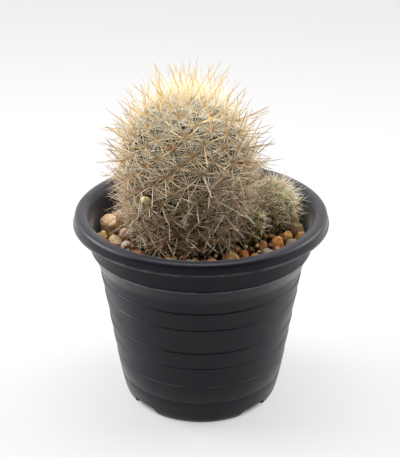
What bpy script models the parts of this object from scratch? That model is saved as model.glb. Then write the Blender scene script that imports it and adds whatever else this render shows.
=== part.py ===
"""A round, densely spined cactus with two offsets, in a round nursery pot dressed with gravel.

Metres, +Z up. The origin is on the pot's axis, on the surface that the pot stands on. The plant's
front faces -Y, and its offsets grow on the +X side.
"""
import math
import random

import bmesh
import bpy
from mathutils import Matrix, Vector

MM = 0.001
GAP = 0.3 * MM                      # left between pieces that rest on each other
GOLDEN_ANGLE = math.pi * (3.0 - math.sqrt(5.0))

# Pot: a round nursery pot, 102 mm across its lip.
POT_SEGMENTS = 60
LIP_RADIUS = 51.0 * MM              # lower edge of the skirt
LIP_HEIGHT = 77.6 * MM
RIM_TOP = 82.3 * MM
ROLL_RADIUS = 50.3 * MM             # outside of the rolled rim, above the skirt
COLLAR_RADIUS = 44.6 * MM           # straight band just under the rim
COLLAR_FOOT = 67.5 * MM             # bead at the band's lower edge
SHOULDER_FOOT = 61.0 * MM
WALL_FOOT_RADIUS = 32.1 * MM        # the tapered wall, drawn down to the ground
WALL_TAPER = 11.86 / 77.6
WALL_THICKNESS = 1.2 * MM
GROOVE_HEIGHTS = [20.7 * MM, 29.65 * MM, 37.3 * MM, 48.6 * MM, 56.4 * MM]
GROOVE_DEPTH = 0.4 * MM
GROOVE_HALF_WIDTH = 0.35 * MM
TIER_STEP = 0.25 * MM               # each tier's foot is set in, above the groove
FOOT_LINE_HEIGHT = 12.2 * MM
FOOT_OUTER_RADIUS = 29.2 * MM       # flat ring that the pot stands on
FOOT_INNER_RADIUS = 27.4 * MM
BASE_UNDERSIDE = 5.4 * MM
BASE_TOP = 6.7 * MM
DRAIN_COUNT = 4
DRAIN_FIRST_ANGLE = math.radians(-47.0)     # from the front, towards +X
DRAIN_NOTCH_WIDTH = 11.0 * MM       # at its top
DRAIN_NOTCH_SPLAY = 1.7             # its cutter is this much wider, as far below the ground
DRAIN_NOTCH_HEIGHT = 4.6 * MM
DRAIN_HOLE_RADIUS = 3.2 * MM
DRAIN_HOLE_DISTANCE = 21.0 * MM

# Potting soil, under the gravel.
SOIL_SEGMENTS = 48
SOIL_TOP = 66.0 * MM

# Stems. Each is a turned dome that narrows to its foot, carrying tubercles in golden-angle spirals.
MAIN_STEM = {
    "origin": (-5.5 * MM, 2.0 * MM),
    "lean": (0.0, 0.0),
    "turn": math.radians(-12.0),
    "radius": 25.0 * MM,
    "top": 127.0 * MM,
    "widest": 98.0 * MM,
    "foot_radius": 21.0 * MM,
    "tubercles": 210,
    "crowding": 2.4,
    "root": [(19.0 * MM, 62.0 * MM), (10.0 * MM, 54.0 * MM), (3.0 * MM, 50.5 * MM)],
}
LARGE_OFFSET = {
    "origin": (28.0 * MM, 8.0 * MM),
    "lean": (math.radians(2.0), math.radians(5.0)),
    "turn": 0.0,
    "radius": 8.2 * MM,
    "top": 89.4 * MM,
    "widest": 80.5 * MM,
    "foot_radius": 4.6 * MM,
    "tubercles": 52,
    "crowding": 1.2,
    "root": [(4.2 * MM, 63.0 * MM), (1.5 * MM, 59.5 * MM)],
}
SMALL_OFFSET = {
    "origin": (20.0 * MM, -6.4 * MM),
    "lean": (math.radians(7.0), math.radians(3.0)),
    "turn": math.radians(160.0),
    "radius": 3.5 * MM,
    "top": 86.0 * MM,
    "widest": 81.0 * MM,
    "foot_radius": 2.6 * MM,
    "tubercles": 20,
    "crowding": 0.6,
    "root": [(2.1 * MM, 64.0 * MM), (0.8 * MM, 62.0 * MM)],
}
CROWD_REACH = 7.0 * MM              # how far from the apex the young tubercles are crowded
VALLEY_SHARE = 0.2                  # valley depth between tubercles, as a share of their spacing
ROOT_SEGMENTS = 20

# Spine clusters: a felted pad with its stout central spines.
PAD_RADIUS = 1.1 * MM
PAD_HEIGHT = 0.6 * MM
SPINES_PER_PAD = 5
SPINE_TIP_SHARE = 0.16              # thickness at the tip, as a share of the root
CROWN_SPINE = 17.6 * MM
SIDE_SPINE = 11.0 * MM
CROWN_PADS = [0, 2, 3, 5, 7, 9]
SIDE_PADS = [36, 47, 59, 61, 65, 71, 76, 91, 101, 111, 113, 128, 133, 140]

# A grain of slow-release feed, caught in the spines on the main stem's left.
GRAIN_AREOLE = 117
GRAIN_SIZE = (3.4 * MM, 2.9 * MM, 2.7 * MM)
GRAIN_HEIGHT = 2.1 * MM             # its middle above the pad, where it clears the splayed spines

# Gravel: name, x, y, across, height and colour, in millimetres, before the stones are settled.
STONES = [
    ("stone_left_large", -38.0, 8.0, 9.6, 9.0, (0.62, 0.44, 0.23)),
    ("stone_left_back", -34.0, 15.5, 6.4, 7.6, (0.55, 0.42, 0.28)),
    ("stone_left_rim", -40.0, -1.5, 5.2, 6.6, (0.50, 0.30, 0.10)),
    ("stone_left_cream", -34.5, -6.5, 6.4, 6.6, (0.66, 0.52, 0.32)),
    ("stone_left_brown", -30.5, 0.5, 5.4, 6.8, (0.30, 0.18, 0.13)),
    ("stone_left_chip", -29.5, -9.5, 5.2, 6.2, (0.68, 0.60, 0.54)),
    ("stone_left_front", -24.0, -19.5, 8.0, 6.6, (0.48, 0.26, 0.10)),
    ("stone_front_cream", -11.5, -25.5, 5.6, 6.6, (0.62, 0.56, 0.34)),
    ("stone_front_green", -4.0, -26.5, 6.0, 6.2, (0.34, 0.36, 0.26)),
    ("stone_front_pink", 4.5, -27.0, 6.4, 6.2, (0.42, 0.28, 0.21)),
    ("stone_front_gold", 11.5, -24.0, 7.4, 7.6, (0.52, 0.34, 0.13)),
    ("stone_front_tan", 20.5, -22.5, 6.6, 7.2, (0.60, 0.44, 0.26)),
    ("stone_front_grey", 26.5, -19.0, 6.6, 7.2, (0.38, 0.35, 0.32)),
    ("stone_right_rust", 24.0, -10.5, 5.0, 7.0, (0.45, 0.20, 0.07)),
    ("stone_right_orange", 29.5, -11.0, 6.0, 8.4, (0.68, 0.32, 0.10)),
    ("stone_right_gold", 34.5, -4.5, 4.8, 7.4, (0.58, 0.38, 0.14)),
    ("stone_right_grey", 36.0, -9.5, 5.6, 6.8, (0.40, 0.37, 0.34)),
    ("stone_right_slab", 33.5, -16.0, 6.6, 6.8, (0.62, 0.40, 0.20)),
    ("stone_rim_gold", 40.0, -3.0, 5.2, 7.2, (0.60, 0.40, 0.16)),
    ("stone_rim_tan", 39.5, 3.5, 6.4, 7.8, (0.46, 0.36, 0.25)),
    ("stone_rim_peach", 38.0, 12.0, 6.0, 8.6, (0.66, 0.46, 0.28)),
    ("stone_right_back", 31.0, 21.5, 8.0, 6.6, (0.50, 0.34, 0.18)),
    ("stone_back_right", 18.5, 32.5, 7.6, 6.0, (0.42, 0.38, 0.34)),
    ("stone_back_pale", 4.0, 35.5, 8.4, 5.6, (0.60, 0.50, 0.38)),
    ("stone_back_gold", -7.0, 33.0, 7.0, 5.8, (0.56, 0.36, 0.15)),
    ("stone_back_mid", -19.5, 32.5, 8.2, 6.4, (0.58, 0.42, 0.22)),
    ("stone_back_left", -31.0, 24.5, 7.2, 6.0, (0.36, 0.22, 0.14)),
    ("stone_rim_front_left", -15.5, -34.5, 8.0, 5.8, (0.52, 0.40, 0.24)),
    ("stone_rim_front_right", 6.0, -37.0, 8.0, 5.6, (0.44, 0.30, 0.20)),
]
STONE_CLEARANCE = 0.35 * MM
STEM_SPREAD = 1.6 * MM              # how much wider a stem is at the stones' tops than at its foot
SETTLE_ROUNDS = 400


def wall_radius(height):
    """Radius of the pot's tapered outside at a height, leaving its grooves out."""
    return WALL_FOOT_RADIUS + WALL_TAPER * height


def pot_outline():
    """The wall's cross-section, as (radius, height) from the foot ring round to the base plate."""
    foot = [
        (FOOT_INNER_RADIUS, 0.0),
        (FOOT_OUTER_RADIUS, 0.0),
        (30.2 * MM, 0.5 * MM),
        (31.2 * MM, 1.6 * MM),
        (31.9 * MM, 3.0 * MM),
        (32.5 * MM, 5.2 * MM),
        (wall_radius(FOOT_LINE_HEIGHT) - 0.15 * MM, FOOT_LINE_HEIGHT),
        (wall_radius(FOOT_LINE_HEIGHT), FOOT_LINE_HEIGHT + 0.3 * MM),
    ]
    tiers = []
    for height in GROOVE_HEIGHTS:
        radius = wall_radius(height)
        tiers.append((radius, height - GROOVE_HALF_WIDTH))
        tiers.append((radius - GROOVE_DEPTH, height))
        tiers.append((radius - TIER_STEP, height + GROOVE_HALF_WIDTH))
    collar = [
        (wall_radius(SHOULDER_FOOT), SHOULDER_FOOT),
        (41.9 * MM, 62.6 * MM),
        (42.85 * MM, 64.4 * MM),
        (43.8 * MM, 66.2 * MM),
        (44.35 * MM, COLLAR_FOOT - 0.3 * MM),
        (44.6 * MM, COLLAR_FOOT),
        (44.4 * MM, COLLAR_FOOT + 0.7 * MM),
        (COLLAR_RADIUS, LIP_HEIGHT),
    ]
    rim = [
        (45.0 * MM, 79.8 * MM),
        (48.6 * MM, 80.5 * MM),
        (49.5 * MM, 79.6 * MM),
        (LIP_RADIUS - 0.9 * MM, LIP_HEIGHT),
        (LIP_RADIUS, LIP_HEIGHT),
        (ROLL_RADIUS, 80.4 * MM),
        (49.9 * MM, 81.5 * MM),
        (48.7 * MM, RIM_TOP),
        (46.5 * MM, 82.2 * MM),
        (45.2 * MM, 81.3 * MM),
        (44.1 * MM, 79.6 * MM),
        (COLLAR_RADIUS - WALL_THICKNESS, LIP_HEIGHT - 0.6 * MM),
    ]
    inside = [
        (44.0 * MM - WALL_THICKNESS, 66.7 * MM),
        (42.5 * MM - WALL_THICKNESS, 63.4 * MM),
        (wall_radius(SHOULDER_FOOT) - WALL_THICKNESS, SHOULDER_FOOT - 0.4 * MM),
        (wall_radius(BASE_TOP) - 1.6 * WALL_THICKNESS, BASE_TOP + WALL_THICKNESS),
        (wall_radius(BASE_TOP) - 2.6 * WALL_THICKNESS, BASE_TOP),
        (0.0, BASE_TOP),
        (0.0, BASE_UNDERSIDE),
        (30.6 * MM, BASE_UNDERSIDE),
        (30.2 * MM, 3.4 * MM),
        (28.8 * MM, 1.6 * MM),
    ]
    return foot + tiers + collar + rim + inside


def soil_outline():
    """The soil's cross-section: it fills the pot's inside, a gap clear of the wall and base."""
    inner = WALL_THICKNESS + GAP + 0.1 * MM
    return [
        (0.0, BASE_TOP + GAP),
        (wall_radius(BASE_TOP) - 2.6 * WALL_THICKNESS - GAP, BASE_TOP + GAP),
        (wall_radius(BASE_TOP) - 1.9 * WALL_THICKNESS - GAP, BASE_TOP + WALL_THICKNESS + GAP),
        (wall_radius(SHOULDER_FOOT) - inner, SHOULDER_FOOT),
        (42.5 * MM - inner, 63.8 * MM),
        (43.6 * MM - inner, SOIL_TOP),
        (0.0, SOIL_TOP),
    ]


def new_material(name, colour, roughness):
    """A plain Principled finish."""
    material = bpy.data.materials.new(name)
    material.use_nodes = True
    shader = material.node_tree.nodes["Principled BSDF"]
    shader.inputs["Base Color"].default_value = (*colour, 1.0)
    shader.inputs["Roughness"].default_value = roughness
    shader.inputs["Metallic"].default_value = 0.0
    return material


def add_object(name, bm, material=None):
    """Put a finished bmesh into the scene as a named object."""
    mesh = bpy.data.meshes.new(name)
    bm.to_mesh(mesh)
    bm.free()
    if material:
        mesh.materials.append(material)
    obj = bpy.data.objects.new(name, mesh)
    bpy.context.scene.collection.objects.link(obj)
    return obj


def shade_round(obj, sharp_degrees=35.0):
    """Smooth shading, kept sharp at real edges."""
    obj.data.shade_smooth()
    obj.data.set_sharp_from_angle(angle=math.radians(sharp_degrees))


def turned(outline, segments):
    """Spin a closed (radius, height) outline round the Z axis."""
    bm = bmesh.new()
    verts = [bm.verts.new((radius, 0.0, height)) for radius, height in outline]
    edges = [bm.edges.new((verts[i - 1], verts[i])) for i in range(len(verts))]
    bmesh.ops.spin(
        bm,
        geom=verts + edges,
        cent=(0.0, 0.0, 0.0),
        axis=(0.0, 0.0, 1.0),
        angle=2.0 * math.pi,
        steps=segments,
        use_merge=True,
    )
    bmesh.ops.remove_doubles(bm, verts=bm.verts, dist=0.001 * MM)
    loose = [edge for edge in bm.edges if not edge.link_faces]
    bmesh.ops.delete(bm, geom=loose, context="EDGES")
    bmesh.ops.recalc_face_normals(bm, faces=bm.faces)
    return bm


def add_cutter(name, bm, target):
    """Cut a shape out of another object."""
    cutter = add_object(name, bm)
    cutter.hide_render = True
    cutter.display_type = "WIRE"
    cut = target.modifiers.new(name, "BOOLEAN")
    cut.operation = "DIFFERENCE"
    cut.solver = "EXACT"
    cut.object = cutter


def drain_shapes():
    """Notches through the foot ring, each with a hole through the base plate behind it."""
    bm = bmesh.new()
    notch_middle = (FOOT_INNER_RADIUS - 1.2 * MM + wall_radius(0.0) + 2.0 * MM) / 2.0
    notch_length = wall_radius(0.0) + 2.0 * MM - FOOT_INNER_RADIUS + 1.2 * MM
    for i in range(DRAIN_COUNT):
        angle = DRAIN_FIRST_ANGLE + i * 2.0 * math.pi / DRAIN_COUNT
        turn = Matrix.Rotation(angle, 4, "Z")
        box = bmesh.ops.create_cube(bm, size=1.0)["verts"]
        size = Matrix.Diagonal((DRAIN_NOTCH_WIDTH, notch_length, 2.0 * DRAIN_NOTCH_HEIGHT, 1.0))
        place = Matrix.Translation((0.0, -notch_middle, 0.0))
        bmesh.ops.transform(bm, matrix=size, verts=box)
        for vert in box:
            if vert.co.z < 0.0:
                vert.co.x *= DRAIN_NOTCH_SPLAY
        bmesh.ops.transform(bm, matrix=turn @ place, verts=box)
        hole = bmesh.ops.create_cone(
            bm,
            cap_ends=True,
            segments=24,
            radius1=DRAIN_HOLE_RADIUS,
            radius2=DRAIN_HOLE_RADIUS,
            depth=3.0 * (BASE_TOP - BASE_UNDERSIDE),
        )["verts"]
        level = (BASE_TOP + BASE_UNDERSIDE) / 2.0
        place = Matrix.Translation((0.0, -DRAIN_HOLE_DISTANCE, level))
        bmesh.ops.transform(bm, matrix=turn @ place, verts=hole)
    return bm


def make_pot(material):
    """The pot, with its drain notches and holes cut."""
    pot = add_object("pot", turned(pot_outline(), POT_SEGMENTS), material)
    add_cutter("drain_cutter", drain_shapes(), pot)
    shade_round(pot)


def stem_outline(stem, samples=200):
    """Points from the apex down to the foot: a dome above the widest level, a taper below it."""
    points = []
    for i in range(samples + 1):
        angle = math.pi / 2.0 * i / samples
        rise = stem["top"] - stem["widest"]
        radius = stem["radius"] * math.sin(angle) ** 0.92
        points.append((radius, stem["widest"] + rise * math.cos(angle) ** 0.96))
    for i in range(1, samples + 1):
        share = i / samples
        height = stem["widest"] + (SOIL_TOP - stem["widest"]) * share
        narrowing = (stem["radius"] - stem["foot_radius"]) * share ** 1.7
        points.append((stem["radius"] - narrowing, height))
    return points


def stem_matrix(stem):
    """Where a stem stands: turned about the point where its axis meets the soil."""
    x, y = stem["origin"]
    root = Matrix.Translation((x, y, SOIL_TOP))
    lean = Matrix.Rotation(stem["lean"][0], 4, "X") @ Matrix.Rotation(stem["lean"][1], 4, "Y")
    return root @ lean @ Matrix.Translation((0.0, 0.0, -SOIL_TOP))


def areoles(stem):
    """Tubercle tips with their outward directions, spiralling from the apex to the foot.

    Equal shares of the outline's area carry one tubercle each, and the crown, where the young
    ones are crowded, counts for more area than it has.
    """
    outline = stem_outline(stem)
    walked = 0.0
    total = 0.0
    sums = [0.0]
    for (r0, z0), (r1, z1) in zip(outline, outline[1:]):
        step = math.hypot(r1 - r0, z1 - z0)
        walked += step
        crowd = 1.0 + stem["crowding"] * math.exp(-walked / CROWD_REACH)
        total += step * (r0 + r1) * crowd
        sums.append(total)
    tips = []
    place = stem_matrix(stem)
    segment = 1
    for i in range(stem["tubercles"]):
        wanted = total * (i + 0.35) / stem["tubercles"]
        while sums[segment] < wanted:
            segment += 1
        share = (wanted - sums[segment - 1]) / (sums[segment] - sums[segment - 1])
        (r0, z0), (r1, z1) = outline[segment - 1], outline[segment]
        radius = r0 + (r1 - r0) * share
        height = z0 + (z1 - z0) * share
        angle = stem["turn"] + i * GOLDEN_ANGLE
        out = Vector((math.cos(angle), math.sin(angle), 0.0))
        normal = out * (z0 - z1) + Vector((0.0, 0.0, r1 - r0))
        tip = place @ (out * radius + Vector((0.0, 0.0, height)))
        tips.append((tip, (place.to_3x3() @ normal).normalized()))
    return tips


def root_ring(stem, radius, height, segments):
    """Points round a stem's axis, below its foot."""
    place = stem_matrix(stem)
    points = []
    for i in range(segments):
        angle = 2.0 * math.pi * i / segments
        points.append(place @ Vector((radius * math.cos(angle), radius * math.sin(angle), height)))
    return points


def make_stem(name, stem, material):
    """A stem skinned over its tubercle tips, with valleys between them and a root crown below."""
    bm = bmesh.new()
    tips = set()
    for tip, _ in areoles(stem):
        tips.add(bm.verts.new(tip))
    for radius, height in [(stem["foot_radius"], SOIL_TOP)] + stem["root"]:
        for point in root_ring(stem, radius, height, ROOT_SEGMENTS):
            bm.verts.new(point)
    hull = bmesh.ops.convex_hull(bm, input=bm.verts, use_existing_faces=False)
    unused = [vert for vert in hull["geom_interior"] if isinstance(vert, bmesh.types.BMVert)]
    bmesh.ops.delete(bm, geom=unused, context="VERTS")
    bmesh.ops.recalc_face_normals(bm, faces=bm.faces)
    skin = [face for face in bm.faces if all(vert in tips for vert in face.verts)]
    for face in skin:
        depth = VALLEY_SHARE * math.sqrt(face.calc_area())
        normal = face.normal.copy()
        centre = bmesh.ops.poke(bm, faces=[face])["verts"][0]
        centre.co -= normal * depth
    shade_round(add_object(name, bm, material), sharp_degrees=60.0)


def root_recess(stem):
    """A stem's root crown, a gap larger all round, to be cut out of the soil."""
    bm = bmesh.new()
    reach = GAP / math.cos(math.pi / ROOT_SEGMENTS)
    rings = [(stem["foot_radius"] + 1.0 * MM, SOIL_TOP + 3.0 * MM), (stem["foot_radius"], SOIL_TOP)]
    for radius, height in rings + stem["root"]:
        wider = radius / math.cos(math.pi / ROOT_SEGMENTS) + reach
        for point in root_ring(stem, wider, height - GAP, ROOT_SEGMENTS):
            bm.verts.new(point)
    bmesh.ops.convex_hull(bm, input=bm.verts, use_existing_faces=False)
    bmesh.ops.recalc_face_normals(bm, faces=bm.faces)
    return bm


def make_soil(material):
    """The soil, with a seat for each stem's root crown."""
    soil = add_object("potting_soil", turned(soil_outline(), SOIL_SEGMENTS), material)
    for name, stem in (("main", MAIN_STEM), ("large", LARGE_OFFSET), ("small", SMALL_OFFSET)):
        add_cutter(f"{name}_root_cutter", root_recess(stem), soil)
    shade_round(soil)


def lumpy_stone(size, rng, flats=7):
    """A worn stone: a ball with flats struck off it, squashed to its size."""
    bm = bmesh.new()
    bmesh.ops.create_icosphere(bm, subdivisions=2, radius=1.0)
    for _ in range(flats):
        direction = Vector((rng.uniform(-1, 1), rng.uniform(-1, 1), rng.uniform(-0.8, 0.8)))
        direction.normalize()
        depth = rng.uniform(0.68, 0.9)
        for vert in bm.verts:
            proud = vert.co.dot(direction) - depth
            if proud > 0.0:
                vert.co -= direction * proud * 0.85
    bmesh.ops.rotate(bm, verts=bm.verts, matrix=Matrix.Rotation(rng.uniform(0, math.pi), 3, "Z"))
    for axis in range(3):
        low = min(vert.co[axis] for vert in bm.verts)
        high = max(vert.co[axis] for vert in bm.verts)
        for vert in bm.verts:
            vert.co[axis] = ((vert.co[axis] - low) / (high - low) - 0.5) * size[axis]
    return bm


def settle(places, fixed):
    """Push round footprints apart, off the stems and inside the wall, until none overlap."""
    wall = 44.1 * MM - WALL_THICKNESS - STONE_CLEARANCE
    for _ in range(SETTLE_ROUNDS):
        for i, (here, radius) in enumerate(places):
            for other, other_radius in places[i + 1:] + fixed:
                apart = here - other
                overlap = radius + other_radius + STONE_CLEARANCE - apart.length
                if overlap > 0.0:
                    push = apart.normalized() * overlap
                    if (other, other_radius) in fixed:
                        here += push
                    else:
                        here += push / 2.0
                        other -= push / 2.0
            if here.length + radius > wall:
                here *= (wall - radius) / here.length


def make_gravel():
    """Stones lying on the soil, round the stems."""
    places = []
    for _, x, y, across, _, _ in STONES:
        places.append((Vector((x * MM, y * MM)), across * MM / 2.0))
    fixed = []
    for stem in (MAIN_STEM, LARGE_OFFSET, SMALL_OFFSET):
        fixed.append((Vector(stem["origin"]), stem["foot_radius"] + STEM_SPREAD))
    settle(places, fixed)
    for index, (name, _, _, across, height, colour) in enumerate(STONES):
        rng = random.Random(100 + index)
        width = across * rng.uniform(0.9, 0.98)
        bm = lumpy_stone((width * MM, width * MM * 0.95, height * MM), rng)
        stone = add_object(name, bm, new_material(name, colour, 0.8))
        middle = SOIL_TOP + GAP + height * MM / 2.0
        stone.location = (places[index][0].x, places[index][0].y, middle)
        shade_round(stone, sharp_degrees=50.0)


def spine_cluster(name, tip, normal, length, tilt, seed, material):
    """A felted pad on a tubercle, with its central spines fanned round the pad's axis."""
    rng = random.Random(seed)
    bm = bmesh.new()
    bmesh.ops.create_cone(
        bm,
        cap_ends=True,
        segments=SPINES_PER_PAD,
        radius1=PAD_RADIUS,
        radius2=0.8 * PAD_RADIUS,
        depth=PAD_HEIGHT,
    )
    bmesh.ops.translate(bm, verts=bm.verts, vec=(0.0, 0.0, PAD_HEIGHT / 2.0))
    top = max(bm.faces, key=lambda face: face.calc_center_median().z)
    sectors = bmesh.ops.poke(bm, faces=[top])["faces"]
    bmesh.ops.inset_individual(bm, faces=sectors, thickness=0.1 * MM)
    spines = bmesh.ops.extrude_discrete_faces(bm, faces=sectors)["faces"]
    for face in spines:
        middle = face.calc_center_median()
        outward = Vector((middle.x, middle.y, 0.0)).normalized()
        lean = tilt + rng.uniform(-0.06, 0.06)
        reach = length * rng.uniform(0.86, 1.0)
        end = middle + (outward * math.sin(lean) + Vector((0, 0, math.cos(lean)))) * reach
        for vert in face.verts:
            vert.co = end + (vert.co - middle) * SPINE_TIP_SHARE
    cluster = add_object(name, bm, material)
    cluster.location = tip + normal * GAP
    cluster.rotation_mode = "QUATERNION"
    cluster.rotation_quaternion = normal.to_track_quat("Z", "Y")


def make_spines():
    """The central spine clusters: golden on the crown, tan on the sides, pale on the offsets."""
    gold = new_material("spine_gold", (0.62, 0.42, 0.16), 0.5)
    tan = new_material("spine_tan", (0.44, 0.27, 0.15), 0.55)
    pale = new_material("spine_pale", (0.72, 0.66, 0.46), 0.55)
    main = areoles(MAIN_STEM)
    for number, index in enumerate(CROWN_PADS):
        tip, normal = main[index]
        name = f"crown_spines_{number + 1}"
        spine_cluster(name, tip, normal, CROWN_SPINE, math.radians(16.0), 300 + index, gold)
    for number, index in enumerate(SIDE_PADS):
        tip, normal = main[index]
        name = f"side_spines_{number + 1:02d}"
        spine_cluster(name, tip, normal, SIDE_SPINE, math.radians(38.0), 300 + index, tan)
    tip, normal = main[GRAIN_AREOLE]
    spine_cluster("grain_spines", tip, normal, 10.0 * MM, math.radians(58.0), 299, tan)
    tip, normal = areoles(LARGE_OFFSET)[1]
    spine_cluster("large_offset_spines", tip, normal, 5.0 * MM, math.radians(30.0), 401, pale)
    tip, normal = areoles(SMALL_OFFSET)[1]
    spine_cluster("small_offset_spines", tip, normal, 3.5 * MM, math.radians(30.0), 402, pale)


def make_grain():
    """The grain of feed, held between the splayed spines of one cluster."""
    tip, normal = areoles(MAIN_STEM)[GRAIN_AREOLE]
    bm = lumpy_stone(GRAIN_SIZE, random.Random(77), flats=3)
    grain = add_object("feed_grain", bm, new_material("feed_yellow", (0.80, 0.70, 0.36), 0.5))
    grain.location = tip + normal * (GAP + PAD_HEIGHT + GRAIN_HEIGHT)
    shade_round(grain)


def main():
    for obj in list(bpy.data.objects):
        bpy.data.objects.remove(obj, do_unlink=True)
    make_pot(new_material("pot_black", (0.026, 0.026, 0.028), 0.45))
    make_soil(new_material("soil_dark", (0.035, 0.024, 0.016), 0.95))
    green = new_material("stem_green", (0.10, 0.125, 0.055), 0.6)
    young_green = new_material("offset_green", (0.24, 0.26, 0.09), 0.6)
    make_stem("main_stem", MAIN_STEM, green)
    make_stem("large_offset", LARGE_OFFSET, young_green)
    make_stem("small_offset", SMALL_OFFSET, young_green)
    make_gravel()
    make_spines()
    make_grain()


main()
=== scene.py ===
import math
import random

import bmesh
import bpy
import numpy as np
from mathutils import Matrix, Vector, kdtree, noise


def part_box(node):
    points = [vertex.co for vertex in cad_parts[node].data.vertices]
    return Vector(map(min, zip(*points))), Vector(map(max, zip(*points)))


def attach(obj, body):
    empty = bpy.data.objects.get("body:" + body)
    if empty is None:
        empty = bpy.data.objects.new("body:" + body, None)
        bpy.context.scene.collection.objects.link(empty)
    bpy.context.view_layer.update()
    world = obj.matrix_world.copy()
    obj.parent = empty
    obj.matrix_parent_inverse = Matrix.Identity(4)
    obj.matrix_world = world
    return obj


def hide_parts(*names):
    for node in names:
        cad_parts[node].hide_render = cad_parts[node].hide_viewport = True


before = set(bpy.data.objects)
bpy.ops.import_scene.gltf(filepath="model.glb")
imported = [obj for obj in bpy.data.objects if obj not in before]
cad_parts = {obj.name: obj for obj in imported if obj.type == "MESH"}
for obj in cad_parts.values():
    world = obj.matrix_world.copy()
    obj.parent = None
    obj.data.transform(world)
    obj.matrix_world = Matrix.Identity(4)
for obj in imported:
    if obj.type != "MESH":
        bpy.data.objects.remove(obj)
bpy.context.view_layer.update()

bl_info = {
    "name": "Potted Round Cactus",
    "version": (1, 0, 0),
    "blender": (4, 5, 0),
    "location": "3D View > Sidebar > Cactus",
    "description": "A round, densely spined cactus with two offsets, in a nursery pot of gravel",
    "category": "Object",
}

MM = 0.001
TURN = 2.0 * math.pi
GOLDEN_ANGLE = math.pi * (3.0 - math.sqrt(5.0))
BODY = "root"

# Measures taken from the frame.
POT_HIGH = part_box("pot")[1]
SOIL_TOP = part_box("potting_soil")[1].z
SOIL_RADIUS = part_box("potting_soil")[1].x
GRAIN_LOW, GRAIN_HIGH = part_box("feed_grain")
NODE_NAMES = sorted(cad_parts)
STONE_NODES = [name for name in NODE_NAMES if name.startswith("stone_")]
CROWN_NODES = [name for name in NODE_NAMES if name.startswith("crown_spines")]
SIDE_NODES = [name for name in NODE_NAMES if name.startswith("side_spines")]

# Seeds, so that every run gives the same plant.
DROP_SEED, CRUMB_SEED, SPINE_SEED, WOOL_SEED, GRAIN_SEED = 5, 31, 11, 23, 6
STONE_SEED, FILL_SEED = 1000, 2000


# Settings

def length(name, description, size):
    """A size, given in millimetres and kept in metres."""
    return bpy.props.FloatProperty(
        name=name, description=description, default=size * MM, min=0.0, precision=5,
        unit="LENGTH",
    )


def colour(name, description, default):
    """A linear colour."""
    return bpy.props.FloatVectorProperty(
        name=name, description=description, default=default, size=3, min=0.0, max=1.0,
        subtype="COLOR",
    )


def count(name, description, default, most):
    """A whole number."""
    return bpy.props.IntProperty(
        name=name, description=description, default=default, min=1, max=most,
    )


def group(kind, name):
    """A group of settings inside another."""
    return bpy.props.PointerProperty(type=kind, name=name, description=kind.__doc__)


class PotSettings(bpy.types.PropertyGroup):
    """Sizes and colours of the pot"""

    wall: length("Wall", "Thickness of the pot's wall", 1.2)
    foot_radius: length("Foot radius", "Radius of the tapered wall at the ground", 32.1)
    collar_radius: length("Collar radius", "Radius of the band under the rim", 44.6)
    collar_foot: length("Collar foot", "Height of the bead under the band", 67.5)
    shoulder_foot: length("Shoulder foot", "Height where the shoulder meets the taper", 61.0)
    groove_depth: length("Groove depth", "Depth of the grooves between tiers", 0.33)
    skin: colour("Plastic", "Colour of the pot's plastic", (0.0032, 0.0028, 0.0066))
    dust: colour("Dust", "Colour of the dust on the pot", (0.20, 0.19, 0.18))
    # Painted highlight: colour of the pale lines on the bead, skirt edge and groove lips.
    edge_highlight: colour("Painted edge highlight", "Colour of the painted highlight lines on edges", (0.10, 0.10, 0.105))


class StemSettings(bpy.types.PropertyGroup):
    """Colours of the plant's skin, and of the shade painted in its valleys"""

    green: colour("Stem green", "Skin of the main stem", (0.092, 0.092, 0.032))
    # Painted shade: colours for the valleys between tubercles, on the main stem and the offsets.
    valley_shade: colour("Valley painted shade", "Painted shade between the tubercles", (0.012, 0.012, 0.004))
    young: colour("Offset green", "Skin of the offsets", (0.23, 0.26, 0.045))
    young_valley_shade: colour(
        "Offset valley painted shade", "Painted shade between the offsets' tubercles", (0.045, 0.070, 0.014),
    )


class SpineSettings(bpy.types.PropertyGroup):
    """Sizes and colours of the spines"""

    radials: count("Radials", "Fine spines on each tubercle", 34, 60)
    centrals: count("Centrals", "Stout spines on each tubercle", 4, 12)
    radial_length: length("Radial length", "Length of a fine spine", 9.6)
    central_length: length("Central length", "Length of a stout spine", 12.1)
    radial_radius: length("Radial radius", "Radius of a fine spine at its root", 0.115)
    central_radius: length("Central radius", "Radius of a stout spine at its root", 0.22)
    gold: colour("Gold", "Roots of young stout spines", (0.80, 0.40, 0.06))
    tan: colour("Tan", "Roots of older stout spines", (0.46, 0.25, 0.13))
    cream: colour("Cream", "Fine spines", (0.94, 0.88, 0.71))
    felt: colour("Felt", "Felt under the older spines", (0.42, 0.27, 0.14))


class GravelSettings(bpy.types.PropertyGroup):
    """Sizes of the gravel"""

    depth: length("Depth", "Depth of the fine gravel over the soil", 6.4)
    smallest: length("Smallest", "Radius of the smallest stone", 1.0)
    largest: length("Largest", "Radius of the largest filling stone", 2.9)
    tries: count("Tries", "Stones dropped while filling", 2600, 9000)


class StageSettings(bpy.types.PropertyGroup):
    """The camera's place and the studio"""

    distance: length("Distance", "Camera's distance in front of the pot's axis", 425.05)
    height: length("Height", "Camera's height above the floor", 275.86)
    pitch: bpy.props.FloatProperty(
        name="Pitch", description="How far the camera looks down", default=math.radians(25.5),
        subtype="ANGLE",
    )
    lens: bpy.props.FloatProperty(
        name="Lens", description="Focal length on a 36 mm sensor, in millimetres", default=92.27,
    )
    floor: colour("Floor", "Colour of the studio floor", (0.18, 0.18, 0.18))
    glow: bpy.props.FloatProperty(
        name="Glow", description="Light that the floor table gives from below", default=0.60,
    )
    daylight: bpy.props.FloatProperty(
        name="Daylight", description="Strength of the studio's white walls", default=0.80,
    )


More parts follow.
